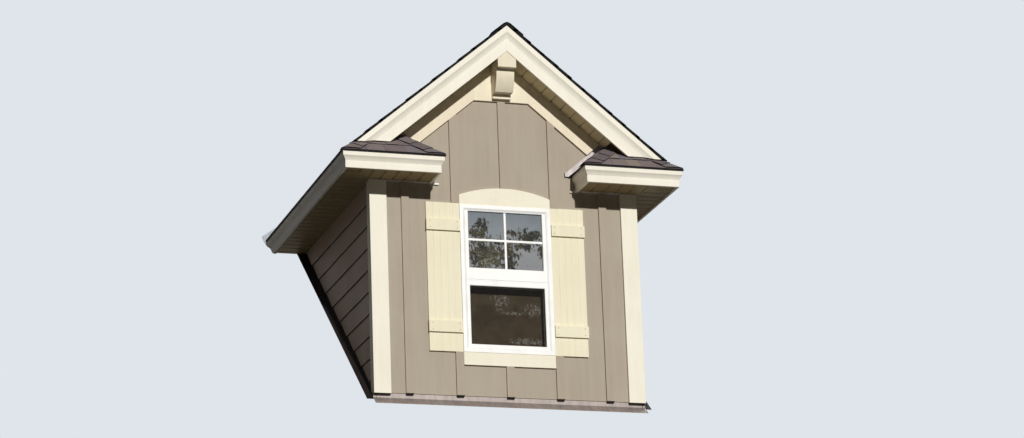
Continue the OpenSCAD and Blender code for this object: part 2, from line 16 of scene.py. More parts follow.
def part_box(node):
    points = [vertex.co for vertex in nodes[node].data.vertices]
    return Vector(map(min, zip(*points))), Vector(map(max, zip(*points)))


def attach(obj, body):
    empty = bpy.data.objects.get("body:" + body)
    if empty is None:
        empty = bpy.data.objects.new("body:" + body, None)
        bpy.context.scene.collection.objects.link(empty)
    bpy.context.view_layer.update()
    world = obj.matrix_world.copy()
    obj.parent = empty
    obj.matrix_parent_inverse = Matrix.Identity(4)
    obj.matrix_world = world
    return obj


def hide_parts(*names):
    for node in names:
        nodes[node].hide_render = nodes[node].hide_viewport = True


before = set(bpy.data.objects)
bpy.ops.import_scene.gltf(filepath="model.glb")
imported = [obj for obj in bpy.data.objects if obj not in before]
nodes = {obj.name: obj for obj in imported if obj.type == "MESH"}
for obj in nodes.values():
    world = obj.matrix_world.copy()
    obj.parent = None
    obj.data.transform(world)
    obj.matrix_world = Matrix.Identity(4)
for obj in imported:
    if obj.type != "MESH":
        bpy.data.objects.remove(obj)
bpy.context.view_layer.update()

# %% [markdown]
# Several pieces share the pitch of the roof, the edges of the cornice and the
# face of the front panel. Such numbers could be typed in. Most are read from
# the solids' boxes instead, so a changed solid carries its dressing along.

# %% Shared numbers
PITCH = math.radians(39.80557)
COS, SIN, SLOPE = math.cos(PITCH), math.sin(PITCH), math.tan(PITCH)
UP = 1 / COS  # level distance to distance up the slope
DIAG = math.sqrt(0.5)  # sine and cosine of a mitre
SIDES = (1, "right"), (-1, "left")
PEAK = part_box("roof_deck_left")[1].z
EAVE_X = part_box("eave_fascias")[1].x
EAVE_Z = PEAK - SLOPE * EAVE_X
WALL_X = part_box("front_panel")[1].x
PANEL_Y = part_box("front_panel")[0].y
RAKE_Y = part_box("rake_fascia_left")[0].y
RETURN_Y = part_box("return_fascias")[0].y
SOFFIT_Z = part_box("return_soffits")[0].z
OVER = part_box("shingles_right")[1].x - EAVE_X  # shingles past the eaves
RAKE_EDGE = RAKE_Y - 0.013  # shingles past the rake boards
RETURN_X = 0.574  # inner end of a return
CROWN, BOARD = 0.0215, 0.019  # how far the crown stands out; a board's thickness
GABLE_SOFFIT_Z = PEAK - (0.163 - 0.009) * UP  # face of the gable's soffit at the ridge
VALLEY = PEAK / SLOPE
PLANK, PLANK_START = 0.1016, 0.03  # a soffit plank; the first seam from the ridge
print("peak", PEAK, "eave", EAVE_X, EAVE_Z, "valley", VALLEY)

# %% [markdown]
# Colours are written as a painter's hex values and turned to linear light in
# one place. A material is a graph that could be clicked together by hand. Here
# one helper adds a node, a second opens a material and puts it into the slots
# of the solids that keep their shape, and a third joins finished patterns to
# the shader.

# %% Colour and node helpers
MIX = {"out": 2, "data_type": "RGBA"}  # a Mix of colours, which come out third
PLACED = {"vector_type": "TEXTURE"}  # a Mapping whose Scale is a pattern's real size


def linear(code):
    """sRGB hex to linear red, green, blue, alpha: the low toe divided by 12.92, the rest raised to 2.4."""
    c = np.array([int(code[i:i + 2], 16) for i in (1, 3, 5)]) / 255
    c = np.where(c <= 0.04045, c / 12.92, ((c + 0.055) / 1.055) ** 2.4)
    return (*map(float, c), 1.0)


def add(tree, kind, inputs=None, out=0, ramp=None, **settings):
    """One node's output. Settings go on the node, and an input takes a socket, a hex colour or a plain value.

    A ramp lists the places and colours of its band; a number there is a grey."""
    made = tree.nodes.new("ShaderNode" + kind)
    for key, value in settings.items():
        setattr(made, key, value)
    for key, value in (inputs or {}).items():
        if isinstance(value, bpy.types.NodeSocket):
            tree.links.new(value, made.inputs[key])
        else:
            made.inputs[key].default_value = linear(value) if isinstance(value, str) else value
    for i, (place, tone) in enumerate(ramp or []):
        band = made.color_ramp.elements
        stop = band[i] if i < 2 else band.new(place)
        stop.position, stop.color = place, linear(tone) if isinstance(tone, str) else (tone, tone, tone, 1)
    return made.outputs[out]


def drawn_out(tree, where, size, turn=(0, 0, 0), **values):
    """A noise whose grain has a real size along each of three axes, turned by turn."""
    place = add(tree, "Mapping", {"Vector": where, "Rotation": turn, "Scale": size}, **PLACED)
    return add(tree, "TexNoise", {"Vector": place, "Scale": 1.0, **values})


def open_material(name, solids="", roughness=0.6, **values):
    """A material in the slot of each named solid: its tree, its shader with plain values, its Object coordinates."""
    made = bpy.data.materials.new(name)
    made.use_nodes = True
    tree = made.node_tree
    shader = tree.nodes["Principled BSDF"]
    for key, value in {"Roughness": roughness, **values}.items():
        shader.inputs[key.replace("_", " ")].default_value = value
    for solid in solids.split():
        nodes[solid].data.materials.clear()
        nodes[solid].data.materials.append(made)
    return made, tree, shader, add(tree, "TexCoord", out="Object")


def feed(shader, **patterns):
    """Links each finished pattern to the shader's input of that name."""
    for key, pattern in patterns.items():
        shader.id_data.links.new(pattern, shader.inputs[key.replace("_", " ")])


def shown(name, data):
    """A new object in the scene that shows a mesh, a camera or a lamp."""
    made = bpy.data.objects.new(name, data)
    bpy.context.scene.collection.objects.link(made)
    return made


print("helpers ready")

# %% [markdown]
# Camera. The photograph was taken from the ground, well in front and to the
# left, with a long lens. A camera could be placed by eye. This one was fitted
# to the photograph by the solids' corners, to within about one pixel.

# %% Camera
yaw, lift, roll = map(math.radians, (17.984, 16.746, -2.126))
camera = shown("camera", bpy.data.cameras.new("camera"))
camera.data.lens, camera.data.sensor_width = 118.14, 36
camera.data.clip_end = 400
camera.matrix_world = (Matrix.Translation((-7.7512, -24.1332, -6.1669)) @ Matrix.Rotation(-yaw, 4, "Z")
                       @ Matrix.Rotation(math.pi / 2 + lift, 4, "X") @ Matrix.Rotation(roll, 4, "Z"))
bpy.context.scene.camera = camera
print("camera at", camera.location[:])

# %% [markdown]
# Lamps. The real front stands in strong light from ahead and a little above,
# which throws short, crisp shadows under the eaves. Area lamps could give it,
# but only a distant one is even over the whole height. A soft lamp from behind
# keeps the back and the right side readable, and a level one lights the inside
# through the open back. Nothing that the camera sees faces either.

# %% Lamps
KEY, BACK, INSIDE = 3.12, 1.5, 1.4


def lamp(name, energy, softness, towards, colour):
    """A distant lamp that shines along towards; softness is its width in degrees."""
    made = shown(name, bpy.data.lights.new(name, "SUN"))
    made.data.energy, made.data.angle, made.data.color = energy, math.radians(softness), colour
    made.matrix_world = Vector(towards).to_track_quat("-Z", "Y").to_matrix().to_4x4()


lamp("key_lamp", KEY, 1.6, (-0.02, 1, -0.40), (1.0, 0.985, 0.955))
lamp("back_lamp", BACK, 25, (-0.5, -0.8, -0.6), (0.97, 0.98, 1.0))
lamp("inside_lamp", INSIDE, 15, (-0.2, -1, -0.14), (1.0, 0.99, 0.97))
print("lamps", KEY, BACK, INSIDE)

# %% [markdown]
# World and floor. The shade needs a dim, warm fill. More lamps could give it,
# but each would throw a shadow of its own, so the world does. A pale backdrop
# is laid over it for camera, glossy and transmission rays only, so that it adds
# no light to the object. The floor likewise is pale where it is seen, and dark
# where it would send light back.

# %% World
FILL_ABOVE, FILL_BELOW = 0.048, 0.006


def seen(tree):
    """The highest of three: one for a camera, glossy or transmission ray, nought for rays that carry light."""
    rays = [add(tree, "LightPath", out=f"Is {kind} Ray") for kind in ("Camera", "Glossy", "Transmission")]
    some = add(tree, "Math", {0: rays[0], 1: rays[1]}, operation="MAXIMUM")
    return add(tree, "Math", {0: some, 1: rays[2]}, operation="MAXIMUM")


world = bpy.data.worlds.new("studio_world")
bpy.context.scene.world = world
world.use_nodes = True
tree = world.node_tree
tree.nodes.clear()
height = add(tree, "SeparateXYZ", {0: add(tree, "TexCoord", out="Generated")}, "Z")
height = add(tree, "MapRange", {0: height, 1: -0.2, 2: 0.2})
below = add(tree, "Background", {"Color": (1.0, 0.86, 0.70, 1), "Strength": FILL_BELOW})
over = add(tree, "Background", {"Color": (1.0, 0.91, 0.84, 1), "Strength": FILL_ABOVE})
even = add(tree, "MixShader", {0: height, 1: below, 2: over})
pale = add(tree, "Background", {"Color": "#dfe5ea", "Strength": 1.0})
mixed = add(tree, "MixShader", {0: seen(tree), 1: even, 2: pale})
tree.links.new(mixed, tree.nodes.new("ShaderNodeOutputWorld").inputs[0])
print("fill", FILL_ABOVE, FILL_BELOW)

# %% Floor
FLOOR_Z, FLOOR_HALF = -6.7, 60  # below the camera's lines of sight
floor_finish, tree, shader, where = open_material("pale_floor_paint", roughness=0.9)
cloudy = add(tree, "TexNoise", {"Vector": where, "Scale": 0.6})
pale_floor = add(tree, "Mix", {0: cloudy, 6: "#e2e3e2", 7: "#e9e9e7"}, **MIX)
feed(shader, Base_Color=add(tree, "Mix", {0: seen(tree), 6: "#292420", 7: pale_floor}, **MIX))
floor = shown("floor", bpy.data.meshes.new("floor"))
floor.data.from_pydata([(x * FLOOR_HALF, y * FLOOR_HALF, FLOOR_Z) for x, y in ((-1, -1), (1, -1), (1, 1), (-1, 1))],
                       [], [(0, 1, 2, 3)])
floor.data.materials.append(floor_finish)
bpy.context.scene.view_settings.view_transform = "Standard"
print("floor at", FLOOR_Z)

# %% [markdown]
# Paint. Trim and siding are factory-finished fibre cement and wood-composite
# boards: very even, with a brushed cedar-like emboss about 2 mm wide along the
# board. The trim is satin, walls and soffits are duller. Weather leaves faint
# clouds and thin rain streaks. A near-black band under each lap and along each
# soffit seam is painted shade, with some dirt in it. Textures could be painted;
# noises drawn out along the board cover them all. The emboss is drawn at 4 mm,
# twice its real width, so that it shows.

# %% Painted boards
STREAK = (1 / 24, 1 / 24, 1 / 2.2)  # rain streaks, 42 mm wide and 455 mm long
EMBOSS = (1 / 250, 1 / 250, 1 / 12)  # emboss, 4 mm wide and 83 mm long
SATIN, LOW_LUSTRE = 0.2, 0.06


def painted_board(name, solids, base, soiled, turn=(0, 0, 0), soil=0.3, grain=0.0006, gloss=SATIN, joints=None):
    """Base to soiled colour by clouds times streaks, over an emboss drawn out along Z turned by turn.

    Joints are axis, first, pitch, half and the share of darkening. A point is in a joint where its distance along the
    axis, wrapped to one pitch, differs from first by at most half; there painted shade with some dirt, near black,
    covers it by that share."""
    made, tree, shader, where = open_material(name, solids, Specular_IOR_Level=gloss)
    clouds = add(tree, "TexNoise", {"Vector": where, "Scale": 2.6, "Detail": 6})
    streaks = drawn_out(tree, where, STREAK, Detail=4)
    dirt = add(tree, "Math", {0: clouds, 1: streaks}, operation="MULTIPLY")
    dirt = add(tree, "MapRange", {0: dirt, 1: 0.16, 2: 0.42, 4: soil})
    fine = drawn_out(tree, where, EMBOSS, turn, Detail=3, Roughness=0.6)
    tone = add(tree, "MapRange", {0: fine, 1: 0.3, 2: 0.7, 3: 0.955, 4: 1.0})
    colour = add(tree, "Mix", {0: dirt, 6: base, 7: soiled}, **MIX)
    colour = add(tree, "Mix", {0: 1.0, 6: colour, 7: tone}, **MIX, blend_type="MULTIPLY")
    if joints:
        axis, first, pitch, half, shade_and_dirt = joints
        place = add(tree, "VectorMath", {0: where}, operation="ABSOLUTE")
        place = add(tree, "SeparateXYZ", {0: place}, axis)
        place = add(tree, "Math", {0: place, 1: first + pitch / 2, 2: first - pitch / 2}, operation="WRAP")
        near = add(tree, "Math", {0: place, 1: first, 2: half}, operation="COMPARE")
        near = add(tree, "Math", {0: near, 1: shade_and_dirt}, operation="MULTIPLY")
        # painted shade with some dirt: near black in the band under each lap and along each seam
        colour = add(tree, "Mix", {0: near, 6: colour, 7: "#1d1712"}, **MIX)
    feed(shader, Base_Color=colour, Roughness=add(tree, "MapRange", {0: clouds, 3: 0.44, 4: 0.64}),
         Normal=add(tree, "Bump", {"Height": fine, "Distance": grain, "Strength": 0.6}))
    return made


print("paint ready")

# %% Paint colours
LEVEL, LENGTHWISE = (0, math.pi / 2, 0), (math.pi / 2, 0, 0)
DOWN_RIGHT, DOWN_LEFT = (0, math.pi / 2 + PITCH, 0), (0, math.pi / 2 - PITCH, 0)
# Bands of painted shade with some dirt: under each lap's butt, and along each gable soffit seam.
LAP_SHADE = ("Z", 1.5245, 0.17635, 0.0043, 0.8)  # height under one lap, spacing of the laps
SEAM_SHADE = ("X", 0.02305, 0.07805, 0.0026, 0.6)  # PLANK_START and PLANK, seen level
for name, solids, base, soiled, turn, soil in (
        ("trim", "corner_boards", "#f6f1e0", "#e3dabf", (0, 0, 0), 0.3),
        ("level_trim", "return_fascias", "#f8f3e5", "#e6ddc4", LEVEL, 0.3),
        ("window_casing", "window_trim", "#f5efdb", "#e3dabd", LEVEL, 0.3),
        ("eave_trim", "eave_fascias", "#f2ede0", "#dcd4bf", LENGTHWISE, 0.3),
        ("rake_right", "rake_fascia_right", "#faf5e6", "#e9e1c8", DOWN_RIGHT, 0.3),
        ("rake_left", "rake_fascia_left", "#faf5e7", "#e9e1ca", DOWN_LEFT, 0.3),
        ("frieze_right", "frieze_right", "#efe4cc", "#d8caaa", DOWN_RIGHT, 0.35),
        ("frieze_left", "frieze_left", "#efe4cc", "#d8caaa", DOWN_LEFT, 0.35),
        ("bracket", "gable_gusset bracket", "#f1e8d0", "#d4c5a3", (0, 0, 0), 0.35)):
    painted_board("cream_painted_" + name, solids, base, soiled, turn, soil)
painted_board("pale_cream_shutter_paint", "shutter_boards shutter_battens", "#f1eacf", "#e0d6b5", grain=0.0009)
wall = {"gloss": LOW_LUSTRE}
painted_board("taupe_painted_fibre_cement", "front_panel", "#b3a898", "#a09482", soil=0.35, **wall)
painted_board("taupe_painted_battens", "battens", "#b4a897", "#9f9382", soil=0.35, **wall)
# The laps' taupe is the panel's paint made warmer and browner: a painted tint for the warm light in their shade.
painted_board("taupe_painted_lap_boards", "lap_siding", "#bba590", "#9f8c78", LENGTHWISE, 0.25, **wall, joints=LAP_SHADE)
soffit_paint = painted_board("cream_painted_soffit", "", "#e2d5b2", "#c5b48d", LENGTHWISE, 0.4, **wall, joints=SEAM_SHADE)
# The level soffits' cream is painted much darker than the trim's: painted shade for their place under the cornice.
shaded_soffit_paint = painted_board("cream_level_soffit_painted_shade", "", "#a89674", "#8d7b59", LENGTHWISE, 0.4, **wall)
print("paints made")

# %% [markdown]
# Vinyl, board and rubber. The frame and sashes are extruded white PVC, smooth
# and slightly glossy, greyer where dust settles. Behind the panes is a dark
# stained board, and black rubber seals them. Flat colours would look lifeless,
# so each is a noise between two near colours, which is all that they show.

# %% Vinyl, dark board and gasket
vinyl, tree, shader, where = open_material("white_pvc_window", "window_frame upper_sash lower_sash", 0.32)
dust = add(tree, "TexNoise", {"Vector": where, "Scale": 9, "Detail": 6})
dust = add(tree, "ValToRGB", {0: dust}, ramp=[(0.35, 0.0), (0.75, 0.5)])
skin = add(tree, "TexNoise", {"Vector": where, "Scale": 140})
feed(shader, Base_Color=add(tree, "Mix", {0: dust, 6: "#fbfbf9", 7: "#e6e4dc"}, **MIX),
     Normal=add(tree, "Bump", {"Height": skin, "Distance": 0.0002, "Strength": 0.3}))

_, tree, shader, where = open_material("dark_stained_plywood", "window_backing", 0.8)
veins = drawn_out(tree, where, (1 / 4, 1 / 60, 1 / 60), Detail=5)  # 250 mm long, 17 mm wide
feed(shader, Base_Color=add(tree, "Mix", {0: veins, 6: "#2b221a", 7: "#45382b"}, **MIX),
     Normal=add(tree, "Bump", {"Height": veins, "Distance": 0.0006, "Strength": 0.6}))

gasket, tree, shader, where = open_material("black_rubber_gasket", "", 0.7, Specular_IOR_Level=0.15)
bloom = add(tree, "TexNoise", {"Vector": where, "Scale": 90})
feed(shader, Base_Color=add(tree, "Mix", {0: bloom, 6: "#141211", 7: "#28241f"}, **MIX))
print("vinyl, board and gasket made")

# %% [markdown]
# Panes. They are float glass, and no room shows through. A real pane mirrors
# what stands around it. Nothing stands here, so clear glass would look empty,
# and mottles of the size of the real reflections are painted into its base
# colour, bright grey-blue above and dark olive below.

# %% Pane finish
def pane(name, corner, size, stops, patches, flecks, ragged, coarse, fine, drift, dense=0.0, shade=None, **gloss):
    """Base colour runs up the pane through the stops; inside the patches it follows the flecks.

    A patch is a centre and two radii, in parts of the pane. A point is inside where its distance from the
    nearest centre, in radii, plus ragged times a noise, is below about 1 + ragged / 2. Flecks colour a second
    noise, to which dense adds the slow one that bends the stops by drift. A painted shadow, near black, lies
    right of the first line of shade and above the second."""
    made, tree, shader, where = open_material(name, "", 0.05, IOR=1.5, **gloss)
    local = add(tree, "Mapping", {"Vector": where, "Location": (corner[0], 0, corner[1]),
                                  "Scale": (size[0], 1, size[1])}, **PLACED)
    local = {axis: add(tree, "SeparateXYZ", {0: local}, axis) for axis in "XZ"}
    wander = add(tree, "TexNoise", {"Vector": where, "Scale": 7, "Detail": 4})
    rise = add(tree, "Math", {0: wander, 1: drift, 2: local["Z"]}, operation="MULTIPLY_ADD")
    rise = add(tree, "Math", {0: rise, 1: drift / 2}, operation="SUBTRACT")
    body = add(tree, "ValToRGB", {0: rise}, ramp=stops)
    nearest = None
    for u, v, ru, rv in patches:
        place = add(tree, "Mapping", {
            "Vector": where, "Location": (corner[0] + u * size[0], 0, corner[1] + v * size[1]),
            "Scale": (ru * size[0], 100, rv * size[1])}, **PLACED)
        far = add(tree, "VectorMath", {0: place}, "Value", operation="LENGTH")
        nearest = far if nearest is None else add(tree, "Math", {0: nearest, 1: far}, operation="MINIMUM")
    edge = drawn_out(tree, where, (0.8, 1, 1.25), Scale=coarse, Detail=5, Roughness=0.68)
    edge = add(tree, "Math", {0: edge, 1: ragged, 2: nearest}, operation="MULTIPLY_ADD")
    inside = add(tree, "MapRange", {0: edge, 1: 0.5 * ragged + 1.12, 2: 0.5 * ragged + 0.80})
    tangle = add(tree, "TexNoise", {"Vector": where, "Scale": fine, "Detail": 4, "Roughness": 0.7, "Distortion": 0.6})
    tangle = add(tree, "Math", {0: wander, 1: dense, 2: tangle}, operation="MULTIPLY_ADD")
    tangle = add(tree, "Math", {0: tangle, 1: 0.5 * dense}, operation="SUBTRACT")
    tangle = add(tree, "ValToRGB", {0: tangle}, ramp=flecks)
    colour = add(tree, "Mix", {0: inside, 6: body, 7: tangle}, **MIX)
    # painted shadow of the frame, near black, beyond the shade lines
    if shade:
        over = [add(tree, "MapRange", {0: local[axis], 1: line - 0.006, 2: line + 0.006})
                for axis, line in zip("XZ", shade)]
        over = add(tree, "Math", {0: over[0], 1: over[1]}, operation="MAXIMUM")
        colour = add(tree, "Mix", {0: over, 6: colour, 7: "#0a0908"}, **MIX)
    feed(shader, Base_Color=colour)
    return made


print("pane finish ready")

# %% The two panes' colours
PANE_X, PANE_WIDTH = -0.3055, 0.611
LOWER_FOOT, LOWER_Z, UPPER_Z = 0.416, 0.883, 1.029  # foot and head of the lower pane, foot of the upper
upper_pane = pane("float_glass_upper", (PANE_X, UPPER_Z), (PANE_WIDTH, 0.464),
                  [(0.0, "#87888c"), (1.0, "#727a81"), (0.35, "#8d9092"), (0.7, "#838a8f")],
                  [(0.19, 0.77, 0.08, 0.11), (0.12, 0.60, 0.14, 0.11), (0.84, 0.60, 0.20, 0.12),
                   (0.62, 0.66, 0.09, 0.05), (0.25, 0.24, 0.31, 0.26), (0.54, 0.20, 0.10, 0.29),
                   (0.76, 0.42, 0.15, 0.06), (0.98, 0.38, 0.06, 0.12)],
                  [(0.32, "#060706"), (0.78, "#aeb3af"), (0.45, "#1d1e16"), (0.53, "#3d3621"), (0.61, "#544d35"),
                   (0.69, "#7f8272")], ragged=5.6, coarse=40, fine=78, drift=0.35, dense=0.6)
# The lower pane's base colour is painted: its browns stand for the dark board seen through the glass, the shade lines
# lay a painted shadow of the frame across its top and right, and the pale flecks are painted highlights.
lower_pane = pane("float_glass_lower", (PANE_X, LOWER_FOOT), (PANE_WIDTH, 0.467),
                  [(0.0, "#74644b"), (1.0, "#7d6e58"), (0.3, "#897860"), (0.55, "#73654f"), (0.75, "#8d7d63")],
                  [(0.43, 0.80, 0.10, 0.14), (0.86, 0.64, 0.10, 0.09), (0.78, 0.10, 0.20, 0.05),
                   (0.60, 0.58, 0.16, 0.03)],
                  [(0.46, "#7a6b55"), (0.60, "#fffdf6"), (0.52, "#b4aa96")], ragged=4.5, coarse=48, fine=85,
                  drift=1.3, shade=(0.962, 0.885), Specular_IOR_Level=0.1)
print("panes' colours made")

# %% [markdown]
# Sheet metal. The apron and the returns' flashing are prefinished aluminium in
# a mauve grey that has chalked in the weather. The valleys' paler blue grey is
# a painted reflection of the sky. The step flashing is dark brown, and so are
# the hooks, whose dark is painted shade. The slow waves of rolled sheet could be
# modelled, but a bump at 150 mm does, and streaks of wash-off 33 mm wide run
# down it.

# %% Flashing metals
def prefinished_sheet(name, solids, base, washed, roughness=0.45, metallic=0.25, gloss=0.5):
    """Coated aluminium: base colour washed paler by streaks down the slope, bumped by slow waves."""
    made, tree, shader, where = open_material(name, solids, roughness, Metallic=metallic, Specular_IOR_Level=gloss)
    streaks = drawn_out(tree, where, (1 / 30, 1 / 6, 1 / 6), Detail=6, Roughness=0.65)
    streaks = add(tree, "ValToRGB", {0: streaks}, ramp=[(0.38, 0.0), (0.70, 1.0)])
    waves = add(tree, "TexNoise", {"Vector": where, "Scale": 6.5, "Detail": 2})
    feed(shader, Base_Color=add(tree, "Mix", {0: streaks, 6: base, 7: washed}, **MIX),
         Normal=add(tree, "Bump", {"Height": waves, "Distance": 0.004, "Strength": 0.5}))
    return made


prefinished_sheet("mauve_grey_aluminium", "apron_flashing", "#877b77", "#9b918a")
prefinished_sheet("pale_grey_aluminium", "return_flashings", "#9a9291", "#b7b0ac")
# painted reflection: the valleys' metal is tinted pale blue grey for the sky it mirrors
prefinished_sheet("aluminium_with_painted_sky_reflection", "valley_flashings", "#a1a6ae", "#c3c8cf")
dark_metal = prefinished_sheet("dark_brown_aluminium", "step_flashings", "#191413", "#2a2320", 0.6, 0.0, 0.15)
print("metals made")

# %% [markdown]
# Shingles. Laminated asphalt shingles are two mats of fibreglass and asphalt,
# coated with mineral granules of 1 to 2 mm, each tab in its own blend of
# colours. One noise could mottle the whole roof, but a tab is all one blend. So
# the tone is a number on every tab's faces, run through a band of colours; the
# granules are a noise at 3 mm, twice their size, so that they show. Cut edges
# carry no mineral and are black.

# %% Shingle finish
shingle_finish, tree, shader, where = open_material("asphalt_shingle_granules", "", 0.92, Specular_IOR_Level=0.25)
tone = add(tree, "Attribute", out="Fac", attribute_name="tone")
blends = add(tree, "ValToRGB", {0: tone}, ramp=[
    (0.0, "#1b1819"), (1.0, "#9a8b82"), (0.10, "#1b1819"), (0.12, "#6f6466"), (0.35, "#817477"),
    (0.52, "#8b7e7c"), (0.66, "#84797b"), (0.80, "#827a80"), (0.90, "#93867f")])
grit = add(tree, "TexNoise", {"Vector": where, "Scale": 320, "Detail": 2, "Roughness": 0.7})
grit = add(tree, "ValToRGB", {0: grit}, ramp=[(0.30, 0.55), (0.70, 1.0)])
patch = add(tree, "TexNoise", {"Vector": where, "Scale": 24, "Detail": 4})
patch = add(tree, "ValToRGB", {0: patch}, ramp=[(0.3, 0.86), (0.7, 1.0)])
colour = add(tree, "Mix", {0: 1.0, 6: blends, 7: patch}, **MIX, blend_type="MULTIPLY")
colour = add(tree, "Mix", {0: 0.8, 6: colour, 7: grit}, **MIX, blend_type="MULTIPLY")
feed(shader, Base_Color=colour, Normal=add(tree, "Bump", {"Height": grit, "Distance": 0.0012, "Strength": 0.7}))
print("shingle finish made")

# %% [markdown]
# Lumber and strand board. The inside shows from behind and below: sawn spruce
# with growth rings 3 to 5 mm apart, and sheathing pressed from flat strands
# about 30 by 90 mm. A flat brown would do from afar, but not close. So the
# rings are a distorted wave along the stick, drawn 8 mm apart so that they
# show; the strands are long cells in two directions, each with its tone.

# %% Lumber
def spruce(name, solids, turn, mirrored=False):
    """Growth rings round a stick along Z turned by turn, where the pattern hardly changes; mirrored folds X over."""
    _, tree, shader, where = open_material("sawn_spruce_" + name, solids, 0.75)
    if mirrored:
        where = add(tree, "VectorMath", {0: where}, operation="ABSOLUTE")
    stick = add(tree, "Mapping", {"Vector": where, "Rotation": turn, "Scale": (1, 1, 20)}, **PLACED)
    rings = add(tree, "TexWave", {"Vector": stick, "Scale": 38, "Distortion": 5.5, "Detail": 3, "Detail Scale": 2.2},
                "Fac", wave_type="RINGS", rings_direction="Z")
    hairs = drawn_out(tree, where, (1 / 420, 1 / 420, 1 / 9), turn, Detail=3)  # 2.4 mm wide, 111 mm long
    wood = add(tree, "Mix", {0: rings, 6: "#cda877", 7: "#e2c495"}, **MIX)
    feed(shader, Base_Color=add(tree, "Mix", {0: 0.35, 6: wood, 7: hairs}, **MIX, blend_type="MULTIPLY"),
         Normal=add(tree, "Bump", {"Height": hairs, "Distance": 0.0005, "Strength": 0.6}))


spruce("upright", "front_studs cheek_studs short_studs", (0, 0, 0))
spruce("level", "front_sole_plate front_top_plate window_header_and_sill", LEVEL)
spruce("lengthwise", "cheek_top_plates ridge_board", LENGTHWISE)
spruce("on_seat", "cheek_sole_plates valley_sleepers", (PITCH - math.pi / 2, 0, 0))
spruce("rafters", "rafters", DOWN_RIGHT, mirrored=True)
print("lumber made")

# %% Strand board
_, tree, shader, where = open_material(
    "oriented_strand_board", "front_sheathing cheek_sheathing roof_deck_left roof_deck_right return_decks", 0.7)
layers = []
for size, turn in (((1 / 11, 1 / 30, 1 / 42), (0.1, 0.2, 0.3)), ((1 / 34, 1 / 12, 1 / 14), (0.5, 0.1, -0.7))):
    strand = add(tree, "Mapping", {"Vector": where, "Rotation": turn, "Scale": size}, **PLACED)
    cells = add(tree, "TexVoronoi", {"Vector": strand, "Scale": 1.0, "Randomness": 1.0}, "Color")
    layers.append(add(tree, "SeparateColor", {0: cells}))
mixed = add(tree, "Math", {0: layers[0], 1: layers[1]}, operation="MAXIMUM")
strands = add(tree, "ValToRGB", {0: mixed}, ramp=[
    (0.0, "#7d5c36"), (1.0, "#dcb981"), (0.5, "#b08a55"), (0.8, "#c9a56c")])
feed(shader, Base_Color=strands, Normal=add(tree, "Bump", {"Height": mixed, "Distance": 0.0008, "Strength": 0.6}))
print("board made")

# %% [markdown]
# New pieces are worked out as arrays. A roof could be laid tab by tab with
# copied objects, but one array holds thousands of blocks. A block is a box
# whose corners are given by u (along the eave), v (up the slope) and n (out of
# the roof). Where a course meets a hip, a valley or an edge, planes cut the
# blocks and the cuts are closed, as a roofer trims a shingle with a knife.

# %% Mesh helpers
FACES = np.array([[0, 3, 2, 1], [4, 5, 6, 7], [0, 1, 5, 4], [1, 2, 6, 5], [2, 3, 7, 6], [3, 0, 4, 7]])


def new_piece(name, points, faces, finish, tone=None):
    """Points (n, 3) and faces as rows of their numbers become an object at the origin; tone is one number a face."""
    mesh = bpy.data.meshes.new(name)
    mesh.from_pydata(np.asarray(points).reshape(-1, 3).tolist(), [], [[*map(int, face)] for face in faces])
    if tone is not None:
        layer = mesh.attributes.new("tone", "FLOAT", "FACE")
        layer.data.foreach_set("value", np.asarray(tone, np.float32).ravel())
    piece = shown(name, mesh)
    mesh.materials.append(finish)
    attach(piece, "root")
    return piece


def repeated(faces, points, count):
    """Faces of count copies of a mesh: copy k has the first one's numbers plus k times its count of points."""
    return (faces[None] + points * np.arange(count)[:, None, None]).reshape(-1, faces.shape[1])


def trim(piece, planes=()):
    """Cuts away what lies in front of each plane (point, outward normal) and closes the cut, black as an edge is."""
    bm = bmesh.new()
    bm.from_mesh(piece.data)
    tone = bm.faces.layers.float.get("tone")
    for point, outward in planes:
        cut = bmesh.ops.bisect_plane(bm, geom=bm.verts[:] + bm.edges[:] + bm.faces[:], dist=1e-7,
                                     plane_co=point, plane_no=outward, clear_outer=True)
        edges = [e for e in cut["geom_cut"] if isinstance(e, bmesh.types.BMEdge) and e.is_boundary]
        for face in bmesh.ops.holes_fill(bm, edges=edges, sides=0)["faces"]:
            if tone:
                face[tone] = 0.0
    bmesh.ops.recalc_face_normals(bm, faces=bm.faces[:])
    bm.to_mesh(piece.data)
    bm.free()
    return piece


def join(name, pieces):
    """Several pieces become one mesh under a new name."""
    bm = bmesh.new()
    for piece in pieces:
        bm.from_mesh(piece.data)
    first, *others = pieces
    for piece in others:
        bpy.data.objects.remove(piece)
    bm.to_mesh(first.data)
    bm.free()
    first.name = name
    return first


def blocks(u, v, n):
    """Boxes from u (k, 2), v (k, 2) and n (k, 3): foot height, butt height, head height. Corners as (k, 8, 3)."""
    return np.stack([u[:, [0, 1, 1, 0] * 2], v[:, [0, 0, 1, 1] * 2], n[:, [0, 0, 0, 0, 1, 1, 2, 2]]], -1)


def mitre(x, y, a, b):
    """Upright plane through (x, y) at 45 degrees, which faces (a, b)."""
    return ((x, y, 0), (a * DIAG, b * DIAG, 0))


def placed(local, origin, along, uphill, out):
    """Local u, v, n turned into the object's frame: origin + u along + v uphill + n out."""
    return np.asarray(origin) + local @ np.array([along, uphill, out], float)


print("mesh helpers ready")

# %% [markdown]
# Courses of laminated shingles. Each course shows 143 mm. Its tabs are 85 to
# 215 mm wide, and every other one is a double layer that stands 3 mm higher, so
# the butts look like uneven teeth. A bump could suggest them, but the teeth
# show against the light at the rake. So a tab is a long block, thick at its
# butt and thin where the next course covers it. One seeded draw gives widths
# and tones, so the roof is the same each time.

# %% Courses
EXPOSURE, COVERED = 0.143, 0.035  # what shows of a course, and what the next one covers
SINGLE, DOUBLE, TAPER = 0.0165, 0.0195, 0.0050  # butt heights, and how much lower the head is
STARTER = 0.0125, 0.0115  # butt and head of the first course
SLIT = 0.0015  # between two tabs
draw = np.random.default_rng(3213)


